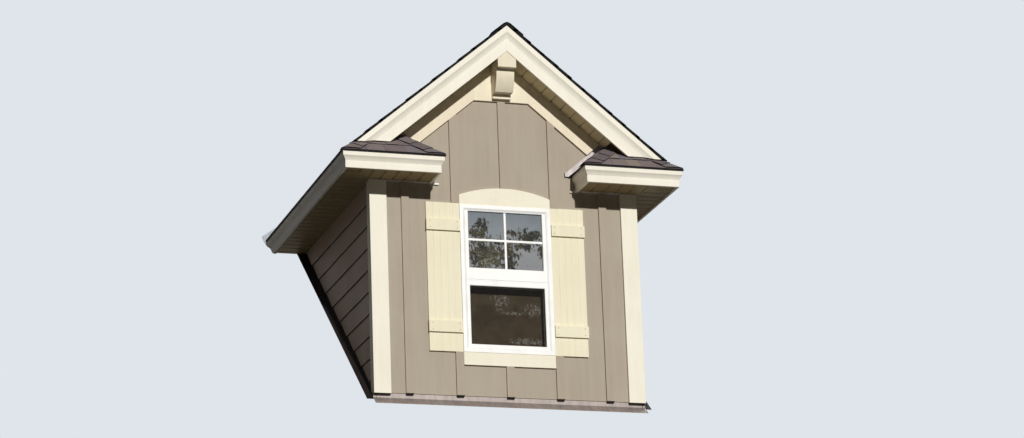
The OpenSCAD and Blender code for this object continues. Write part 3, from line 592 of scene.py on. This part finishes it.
def courses(name, origin, along, heading, u_span, v_top, planes):
    """Tab edges are running sums of drawn widths; every other tab is double; all are cut by the planes.

    The slope rises towards the level heading: uphill is heading COS + up SIN, out is up COS - heading SIN."""
    rows = int(np.ceil(v_top / EXPOSURE))
    per = int((u_span[1] - u_span[0]) / 0.10) + 6
    width = draw.uniform(0.085, 0.215, (rows, per))
    edge = u_span[0] - draw.uniform(0.0, 0.2, (rows, 1)) + np.cumsum(width, 1)
    edge = np.concatenate([edge[:, :1] - width[:, :1], edge], 1)
    u = np.stack([edge[:, :-1], edge[:, 1:] - SLIT], -1)
    high = (np.arange(per)[None] + draw.integers(0, 2, (rows, 1))) % 2
    butt = np.where(high == 1, DOUBLE, SINGLE) + draw.uniform(-0.0006, 0.0, (rows, per))
    head = butt - TAPER
    butt[0], head[0] = STARTER
    row = np.arange(rows)[:, None]
    low = EXPOSURE * row + draw.uniform(-0.002, 0.002, (rows, per)) * (row > 0)
    v = np.stack([low, low + EXPOSURE + COVERED], -1)
    keep = (u[..., 1] > u_span[0]) & (u[..., 0] < u_span[1])
    n = np.stack([np.zeros((rows, per)), butt, head], -1)
    local = blocks(u[keep], v[keep], n[keep])
    tone = np.zeros((len(local), len(FACES)))
    tone[:, 1] = draw.uniform(0.16, 1.0, len(local))
    x, y = heading
    points = placed(local, origin, along, (x * COS, y * COS, SIN), (-x * SIN, -y * SIN, COS))
    return trim(new_piece(name, points, repeated(FACES, 8, len(local)), shingle_finish, tone), planes)


foot_x, valley_x = EAVE_X + OVER, VALLEY - 0.045  # the shingles' lower edge; they stop short of the valley
for sign, side in SIDES:
    planes = [((0, RAKE_EDGE, 0), (0, -1, 0)), ((0, 0, 0), (-sign, 0, 0)), mitre(sign * valley_x, 0, sign, 1)]
    made = courses("roof_shingles_" + side, (sign * foot_x, 0, PEAK - SLOPE * foot_x), (0, 1, 0), (-sign, 0),
                   (RAKE_EDGE, VALLEY), foot_x * UP, planes)
    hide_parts("shingles_" + side)
    print(made.name, len(made.data.polygons), "faces")

# %% [markdown]
# Caps. Folded shingle pieces cover ridge and hips, 143 mm to the weather, each
# lapping the one before: about 300 mm wide over the ridge, 210 mm over a hip.
# One long folded strip would show no laps. So each cap is a small sheet whose
# two wings follow the slopes beside the ridge, with a rounded bend between.

# %% Caps over ridge and hips
CAP_LENGTH, CAP_BUTT, CAP_HEAD, CAP_RISE = 0.19, 0.006, 0.003, 0.005  # thick at its butt, thin at its head


def caps(name, start, along, wings, half, count, lift, planes, butt=0.0):
    """Points: start + distance along + |s| times a wing + height, less 4 mm times a bell 12 mm wide round s = 0."""
    s = np.array([-1, -0.55, -0.14, -0.05, 0, 0.05, 0.14, 0.55, 1]) * half
    along, wings = np.array(along, float), np.array(wings, float)
    out = np.cross(wings[0], along), np.cross(along, wings[1])
    normals = np.array([v / np.linalg.norm(v) * (1 if v[2] > 0 else -1) for v in out])
    side = (s > 0).astype(int)
    middle = normals.sum(0) / np.linalg.norm(normals.sum(0))
    normal = np.where(np.abs(s)[:, None] < 1e-9, middle, normals[side])
    base = np.abs(s)[:, None] * wings[side]
    soften = 0.004 * np.exp(-(s / 0.012) ** 2)[:, None] * middle
    k = np.arange(count)
    ends = np.stack([k * EXPOSURE, k * EXPOSURE + CAP_LENGTH], 1)
    heights = np.array([[lift + CAP_RISE, lift + CAP_RISE + CAP_BUTT], [lift, lift + CAP_HEAD]])
    grid = (np.asarray(start) + ends[..., None, None, None] * along + (base - soften)
            + heights[..., None, None] * normal)
    m = len(s)
    index = np.arange(2 * 2 * m).reshape(2, 2, m)
    quads = []
    for a, flip in ((index[:, 1], False), (index[:, 0], True), (index[0], False), (index[1], True)):
        q = np.stack([a[0, :-1], a[0, 1:], a[1, 1:], a[1, :-1]], -1)
        quads.append(q[:, ::-1] if flip else q)
    quads += [index[[[0, 0, 1, 1]], [[0, 1, 1, 0]], 0], index[[[0, 1, 1, 0]], [[0, 0, 1, 1]], -1]]
    quads = np.concatenate(quads)
    top = np.zeros(len(quads))
    top[:m - 1] = 1
    tone = top * draw.uniform(0.16, 0.9, (count, 1)) + (1 - top) * (k[:, None] > 0) * butt
    return trim(new_piece(name, grid, repeated(quads, 4 * m, count), shingle_finish, tone), planes)


ridge = caps("ridge_caps", (0, RAKE_EDGE, PEAK), (0, 1, 0), ((-COS, 0, -SIN), (COS, 0, -SIN)), half=0.118 * UP,
             count=28, lift=0.0155, planes=[((0, VALLEY, PEAK), (0, 1, 0)), ((0, 0, 0.003), (0, SIN, -COS))],
             butt=0.114)
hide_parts("ridge_cap")
print(ridge.name, len(ridge.data.polygons), "faces")

# %% [markdown]
# The returns' small roofs have three slopes each: front, inner and outer, the
# outer one in line with the gable roof. They run back under the gable roof and
# stop at its underside. A boolean cut would be fragile on so many thin blocks,
# so planes cut them, a different one in each strip of depth: before the
# shingles' edge, under the crown, under the rake and under the soffit.

# %% Return roofs
FOOT_Y, FOOT_Z = RETURN_Y - OVER, EAVE_Z - SLOPE * OVER
BEHIND_CROWN = RAKE_Y + CROWN
BEHIND_RAKE = BEHIND_CROWN + BOARD + 0.016
UNDER_RAKE, UNDER_SOFFIT = 0.012 * UP, PEAK - GABLE_SOFFIT_Z  # how far each lies below the roof's plane
FIRST, LAST = (FOOT_Y, RAKE_EDGE, None), (BEHIND_RAKE, PANEL_Y, UNDER_SOFFIT)


def strip(sign, a, b, drop):
    """Planes that keep the depths from a to b and, given a drop, only what lies that far under the gable's slope."""
    cuts = [((0, a, 0), (0, -1, 0)), ((0, b, 0), (0, 1, 0))]
    return cuts if drop is None else cuts + [((0, 0, PEAK - drop), (sign * SIN, 0, COS))]


def return_roof(sign):
    """The three slopes of one return, in strips: where each starts and ends in depth, and its drop."""
    inner, outer = sign * (RETURN_X - OVER), sign * (EAVE_X + OVER)
    strips = [FIRST, (RAKE_EDGE, BEHIND_CROWN, 0.0), (BEHIND_CROWN, BEHIND_RAKE, UNDER_RAKE), LAST]
    deep = (0, PANEL_Y - FOOT_Y)
    slopes = [("front", inner, (sign, 0, 0), (0, 1), (0, abs(outer - inner)),
               [mitre(inner, FOOT_Y, -sign, 1), mitre(outer, FOOT_Y, sign, 1)]),
              ("inner", inner, (0, 1, 0), (sign, 0), deep, [mitre(inner, FOOT_Y, sign, -1)]),
              ("outer", outer, (0, 1, 0), (-sign, 0), deep, [mitre(outer, FOOT_Y, -sign, -1)])]
    made = []
    for label, x, along, heading, span, hips in slopes:
        state = draw.bit_generator.state
        for i, (a, b, drop) in enumerate(strips[:1] if label == "outer" else strips):
            draw.bit_generator.state = state  # the same tabs in every strip
            made.append(courses(f"part_{label}_{i}_{sign}", (x, FOOT_Y, FOOT_Z), along, heading, span, v_top=0.60,
                                planes=hips + strip(sign, a, b, drop)))
    return made


small_roofs = join("return_roof_shingles", return_roof(1) + return_roof(-1))
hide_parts("return_shingles")
print(small_roofs.name, len(small_roofs.data.polygons), "faces")

# %% [markdown]
# Hip caps. The returns' hips carry the same folded caps as the ridge. They could
# be placed one by one; the same function lays them along the line where two
# slopes meet, with wings that lie in those slopes, square to the hip.

# %% Hip caps on the returns
hips = []
for sign in (1, -1):
    for x, turn in ((sign * (RETURN_X - OVER), sign), (sign * (EAVE_X + OVER), -sign)):
        way = np.array([turn, 1, SLOPE]) / math.sqrt(2 + SLOPE ** 2)
        wings = []
        for slope in np.array([[0, COS, SIN], [turn * COS, 0, SIN]]):
            wing = slope - (slope @ way) * way
            wings.append(-wing / np.linalg.norm(wing))
        strips = [FIRST, (RAKE_EDGE, BEHIND_RAKE, UNDER_RAKE), LAST]
        for i, (a, b, drop) in enumerate(strips[:1] if abs(x) > 1 else strips):  # the outer hip shows in front only
            state = draw.bit_generator.state
            hips.append(caps(f"hip_{sign}_{i}", (x, FOOT_Y, FOOT_Z), way, wings, half=0.105, count=4, lift=0.015,
                             planes=strip(sign, a, b, drop) + [((x, 0, 0), (-turn, 0, 0))]))
            if i < len(strips) - 1:
                draw.bit_generator.state = state
hip_caps = join("return_hip_caps", hips)
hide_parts("return_shingles")
print(hip_caps.name, len(hip_caps.data.polygons), "faces")

# %% [markdown]
# Soffits. Tongue-and-groove planks 102 mm wide close them, painted like the
# trim, with a V-shaped seam between planks. The level soffits' cream is painted
# darker as painted shade. The seams could be drawn in the paint, but from below
# they show their depth. So the section is a profile carried along the plank;
# all planks run out from the wall behind them.

# %% Gable soffits
SEAM, SEAM_DEPTH, PLANK_THICK = 0.0075, 0.0095, 0.010  # half width and depth of a seam


def planks(name, origin, across, along, out, width, length, finish, shift=0.0):
    """Profile points (across, depth) with a V at each seam, carried from one end to the other; out points down."""
    seams = np.arange(math.ceil(-shift / PLANK), math.floor((width - shift) / PLANK) + 1) * PLANK + shift
    seams = seams[(seams > SEAM) & (seams < width - SEAM)]
    s = np.concatenate([[0], np.stack([seams - SEAM, seams, seams + SEAM], 1).ravel(), [width]])
    n = np.concatenate([[0], np.tile([0, -SEAM_DEPTH, 0], len(seams)), [0]])
    s, n = np.concatenate([s, s[::-1]]), np.concatenate([n, np.full(len(n), -PLANK_THICK)])
    m = len(s)
    local = np.stack([np.tile(s, 2), np.repeat([0.0, length], m), np.tile(n, 2)], 1)
    i, k = np.arange(m), np.arange(m // 2 - 1)
    j = (i + 1) % m
    cap = np.stack([k, k + 1, m - 2 - k, m - 1 - k], 1)
    faces = np.concatenate([np.stack([i, j, j + m, i + m], 1), cap, cap[:, ::-1] + m])
    return trim(new_piece(name, placed(local, origin, across, along, out), faces, finish))


rake_back = BEHIND_CROWN + BOARD
small_roof = EAVE_Z + 0.0195  # surface of a return's shingles over the inner end of its fascia
for sign, side in SIDES:
    run = planks("gable_soffit_planks_" + side, (0, rake_back, GABLE_SOFFIT_Z), (sign * COS, 0, -SIN), (0, 1, 0),
                 (-sign * SIN, 0, -COS), EAVE_X * UP, PANEL_Y - rake_back, soffit_paint, PLANK_START)
    trim(run, [((sign * RETURN_X, 0, small_roof), (sign * SIN, 0, -COS))])
    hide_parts("gable_soffit_" + side)
    print(run.name, len(run.data.polygons), "faces")

# %% [markdown]
# Level soffits. On the real cornice the eave's and the return's planks meet in
# a mitre under the corner. They could be one sheet with a seam across it; two
# runs of planks, each cut by the mitre's plane, also turn the seams there.

# %% Level soffits
BACK_X, BACK_Y = EAVE_X - CROWN - BOARD, RETURN_Y + CROWN + BOARD  # backs of the fascia boards
START_X = RETURN_X + CROWN + BOARD
EAVE_RUN = 2.9  # longer than the eave; the plane of the seat cuts it
for label, node in (("eave", "eave_soffits"), ("return", "return_soffits")):
    runs = []
    for sign in (1, -1):
        if label == "eave":
            run = planks(f"eave_{sign}", (sign * WALL_X, BACK_Y, SOFFIT_Z), (0, 1, 0), (sign, 0, 0), (0, 0, -1),
                         EAVE_RUN, BACK_X - WALL_X, shaded_soffit_paint)
            cuts = [mitre(sign * EAVE_X, RETURN_Y, -sign, -1), ((0, 0, 0), (0, SIN, -COS))]
        else:
            run = planks(f"return_{sign}", (sign * START_X, BACK_Y, SOFFIT_Z), (sign, 0, 0), (0, 1, 0), (0, 0, -1),
                         BACK_X - START_X, PANEL_Y - BACK_Y, shaded_soffit_paint)
            cuts = [mitre(sign * EAVE_X, RETURN_Y, sign, 1)]
        runs.append(trim(run, cuts))
    made = join(label + "_soffit_planks", runs)
    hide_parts(node)
    print(made.name, len(made.data.polygons), "faces")

# %% [markdown]
# Window parts. Sloped stops, glazing beads, black gaskets and the frame of the
# half insect screen all run round an opening. Four mitred sticks could make
# each; one function does it, where a profile point (inward, depth) becomes a
# rectangle inset by its first number. The upper pane's bars are flat strips.

# %% Profiles round the openings
def surround(name, lo, hi, profile, finish=vinyl):
    """Points of a closed profile (inward, y) carried round the rectangle lo (x, z) to hi (x, z)."""
    inward, depth = np.array(profile, float).T
    m = len(inward)
    left, right, foot, head = lo[0] + inward, hi[0] - inward, lo[1] + inward, hi[1] - inward
    points = np.stack([[left, right, right, left], [depth] * 4, [foot, foot, head, head]], -1)
    i, j = np.indices((4, m))
    after, beside = (i + 1) % 4, (j + 1) % m
    faces = np.stack([i * m + j, after * m + j, after * m + beside, i * m + beside], -1).reshape(-1, 4)
    return trim(new_piece(name, points, faces, finish))


def bars(name, boxes, bevel=0.0, finish=vinyl):
    """Upright boxes given as (lowest corner, highest corner), with an eased edge."""
    u, v, n = np.array(boxes, float).transpose(2, 0, 1)
    local = blocks(u, v, n[:, [0, 1, 1]])
    piece = new_piece(name, local, repeated(FACES, 8, len(local)), finish)
    if bevel:
        ease = piece.modifiers.new("eased edge", "BEVEL")
        ease.width, ease.segments = bevel, 2
    return piece


print("window helpers ready")

# %% Stops, beads and gaskets
FRAME_FACE = 0.030  # width of the frame's face
frame_lo, frame_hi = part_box("window_frame")
glass_lo, glass_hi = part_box("window_glass")
sash_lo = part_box("upper_sash")[0]
sash_y = sash_lo.y
surround("window_stops", (frame_lo.x + FRAME_FACE, frame_lo.z + FRAME_FACE),
         (frame_hi.x - FRAME_FACE, frame_hi.z - FRAME_FACE),
         [(0.0, frame_lo.y), (1.8 * (sash_y - frame_lo.y), sash_y), (0.0, sash_y)])
panes = {"upper": (UPPER_Z, glass_hi.z, sash_y + 0.015, upper_pane),  # foot, head, front face and finish
         "lower": (glass_lo.z, LOWER_Z, sash_y + 0.045, lower_pane)}
for name, (z0, z1, face, _) in panes.items():
    front = face - 0.014
    surround(name + "_glazing_bead", (glass_lo.x, z0), (glass_hi.x, z1),
             [(0.0, front), (0.0005, front), (0.0035, face - 0.001), (0.0, face - 0.001)])
    surround(name + "_gasket", (glass_lo.x, z0), (glass_hi.x, z1),
             [(0.003, face - 0.0015), (0.006, face - 0.0012), (0.006, face), (0.003, face)], gasket)
print("stops, beads and gaskets made")

# %% Screen frame and bars
edge = FRAME_FACE + 0.001
surround("screen_frame", (frame_lo.x + edge, frame_lo.z + edge), (frame_hi.x - edge, LOWER_Z + 0.0395),
         [(0.0, sash_y + 0.001), (0.002, sash_y), (0.033, sash_y), (0.037, sash_y + 0.003), (0.037, sash_y + 0.011),
          (0.0, sash_y + 0.011)])
bars("screen_head", [[(frame_lo.x + edge, sash_y, LOWER_Z + 0.0393),
                      (frame_hi.x - edge, sash_y + 0.011, sash_lo.z - 0.0012)]], 0.001)
z0, z1, face, _ = panes["upper"]
middle, back = (z0 + z1) / 2, face - 0.0002
bars("grille_bars", [
    [(-0.009, face - 0.005, z0 + 0.003), (0.009, back, z1 - 0.003)],
    [(glass_lo.x + 0.003, face - 0.0052, middle - 0.009), (glass_hi.x - 0.003, back, middle + 0.009)]], 0.0015)
print("screen frame and bars made")

# %% [markdown]
# The two panes are thin sheets with polished edges. In front of the lower one
# hangs the screen's cloth: black glass-fibre threads 1.4 mm apart. Modelled,
# they would be thousands of faces. So the cloth is a sheet that lets six to
# eight tenths of the light through, with a faint weave drawn at 4 mm.

# %% Panes and screen cloth
for name, (z0, z1, face, finish) in panes.items():
    sheet = bars(name + "_pane", [[(glass_lo.x, face, z0), (glass_hi.x, face + 0.006, z1)]], 0.0008, finish)
    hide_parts("window_glass")
cloth, tree, shader, where = open_material("black_fibre_screen_cloth", "", 0.85, Specular_IOR_Level=0.2)
weave, cross = [add(tree, "TexWave", {"Vector": where, "Scale": 78.0}, "Fac", wave_type="BANDS", bands_direction=axis)
                for axis in "XZ"]
threads = add(tree, "Math", {0: weave, 1: cross}, operation="MAXIMUM")
feed(shader, Base_Color=add(tree, "Mix", {0: threads, 6: "#151311", 7: "#24211d"}, **MIX),
     Alpha=add(tree, "MapRange", {0: threads, 3: 0.18, 4: 0.42}))
bars("screen_cloth", [[(frame_lo.x + FRAME_FACE + 0.03, sash_y + 0.0060, frame_lo.z + FRAME_FACE + 0.03),
                       (frame_hi.x - FRAME_FACE - 0.03, sash_y + 0.0066, LOWER_Z + 0.010)]], 0, cloth)
print("panes and cloth made")

# %% [markdown]
# Small parts. White channels carry the return soffits on the wall and stick out
# a little past them. Black blocks under the feet of battens and corner boards
# are painted shadow, dark solids where there is only shade. Dark hooks hold the
# returns' flashing; their dark brown is painted shade of the gap under its end.
# Painted spots could stand for them, but each catches light and throws a shadow,
# so each is a small box.

# %% Channels, painted shadow blocks and hooks
board_lo, board_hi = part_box("corner_boards")
CORNER_IN = board_hi.x - 0.1376  # inner edge of a corner board
BATTEN_PITCH, BATTEN_HALF, BATTEN_Y = 0.4064, 0.030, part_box("battens")[0].y
METAL_END = RETURN_X - 0.058


def on_side(sign, x0, x1, y0, y1, z0, z1):
    """A box between x0 and x1 on one side, right for sign 1, as its lowest and highest corners."""
    low, high = sorted((sign * x0, sign * x1))
    return (low, y0, z0), (high, y1, z1)


channels, shadow_blocks, hooks = [], [], []
for sign, stub in ((1, 0.024), (-1, 0.040)):
    channels += [on_side(sign, RETURN_X, CORNER_IN, PANEL_Y - 0.028, PANEL_Y, SOFFIT_Z - 0.0016, SOFFIT_Z - 0.0001),
                 on_side(sign, RETURN_X - stub, RETURN_X + 0.001, PANEL_Y - 0.016, PANEL_Y, SOFFIT_Z - 0.0115,
                         SOFFIT_Z - 0.0001)]
    # painted shadow: a black block under a corner board's foot
    shadow_blocks += [on_side(sign, CORNER_IN + 0.002, board_hi.x - 0.002, board_lo.y + 0.002, PANEL_Y + 0.004,
                      -0.0130, -0.008)]
    # dark brown hooks: the flashing's bent ends, dark as painted shade of the gap under them
    hooks += [on_side(sign, METAL_END - 0.005, METAL_END + wide, PANEL_Y - 0.007, PANEL_Y, EAVE_Z + z0, EAVE_Z + z1)
              for wide, z0, z1 in ((0, -0.002, 0.027), (0.032, -0.009, -0.002))]
# painted shadow: black blocks under the battens' feet
shadow_blocks += [((k * BATTEN_PITCH - BATTEN_HALF, BATTEN_Y + 0.001, -0.0085),
           (k * BATTEN_PITCH + BATTEN_HALF, PANEL_Y + 0.003, 0.0)) for k in range(-2, 3)]
bars("soffit_channels", channels, 0.0005)
bars("painted_shadow_blocks", shadow_blocks, 0, gasket)
bars("flashing_hooks", hooks, 0, dark_metal)
print(len(channels), "channels,", len(shadow_blocks), "closures,", len(hooks), "hook arms")

# %% [markdown]
# Screws. Two hold each end of a shutter batten, their heads painted over and a
# little darker than the board. A sphere would cost too many faces for so small
# a part, so each head is a low dome of 12 sides.

# %% Shutter screws
def screws(name, places, radius=0.0042, depth=0.0012, m=12):
    """Each head: a ring of m points on the board, one of 0.8 of its radius raised by depth, a centre, a flat back."""
    i = np.arange(m)
    j, turn = (i + 1) % m, i * math.tau / m
    ring = np.stack([np.cos(turn), 0 * turn, np.sin(turn)], 1)
    one = np.concatenate([ring * radius, ring * radius * 0.8 + (0, -depth, 0), [(0, -depth * 0.5, 0)]])
    points = np.asarray(places)[:, None] + one
    side, top = np.stack([i, j, j + m, i + m], 1), np.stack([i + m, j + m, np.full(m, 2 * m)], 1)
    faces = [row for part in (side, top, i[None, ::-1]) for row in repeated(part, len(one), len(places))]
    return new_piece(name, points, faces, screw_paint)


screw_paint, tree, shader, where = open_material("painted_screw_heads", "", 0.5)
rust = add(tree, "TexNoise", {"Vector": where, "Scale": 500})
feed(shader, Base_Color=add(tree, "Mix", {0: rust, 6: "#b9ab88", 7: "#8f7f60"}, **MIX))
shutter_lo, shutter_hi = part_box("shutter_battens")
half = 0.0465  # of a shutter batten's width
places = [(sign * x, shutter_lo.y, z + dz) for sign in (1, -1) for x in (0.400, 0.620)
          for z in (shutter_lo.z + half, shutter_hi.z - half) for dz in (-0.026, 0.026)]
screws("shutter_screws", places)
print(len(places), "screws")

# %% [markdown]
# Eased edges. Boards never end in a knife edge; the paint rounds them over by a
# millimetre or so and the light catches there. A bevel in the solids would
# multiply their faces. So a merged copy of a solid gets a bevel on its sharp
# edges only, and curved faces, such as the scroll's, are shaded smooth.

# %% Copies with eased edges
SHARP = math.radians(14)


def eased(node, width):
    """A merged copy of a solid with a two-step bevel on edges sharper than 14 degrees."""
    mesh = nodes[node].data.copy()
    piece = shown(node + "_eased", mesh)
    bm = bmesh.new()
    bm.from_mesh(mesh)
    bmesh.ops.remove_doubles(bm, verts=bm.verts, dist=2e-5)
    bm.to_mesh(mesh)
    bm.free()
    mesh.shade_smooth()
    mesh.set_sharp_from_angle(angle=SHARP)
    ease = piece.modifiers.new("eased edge", "BEVEL")
    ease.limit_method, ease.angle_limit = "ANGLE", SHARP
    ease.width, ease.segments, ease.harden_normals = width, 2, True
    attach(piece, "root")
    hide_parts(node)
    return piece


soft = {"bracket": 0.002, "battens": 0.0015, "corner_boards": 0.002, "window_trim": 0.0015, "window_frame": 0.002,
        "upper_sash": 0.0015, "lower_sash": 0.0015, "shutter_battens": 0.0015, "shutter_boards": 0.001,
        "frieze_left": 0.0015, "frieze_right": 0.0015, "gable_gusset": 0.0015, "rake_fascia_left": 0.0012,
        "rake_fascia_right": 0.0012, "return_fascias": 0.0012, "eave_fascias": 0.0012}
for node, width in soft.items():
    eased(node, width)
print("eased:", len(soft))

# %% [markdown]
# Last, a line says that the dressing is done.

# %% Finish
print("dressing done")
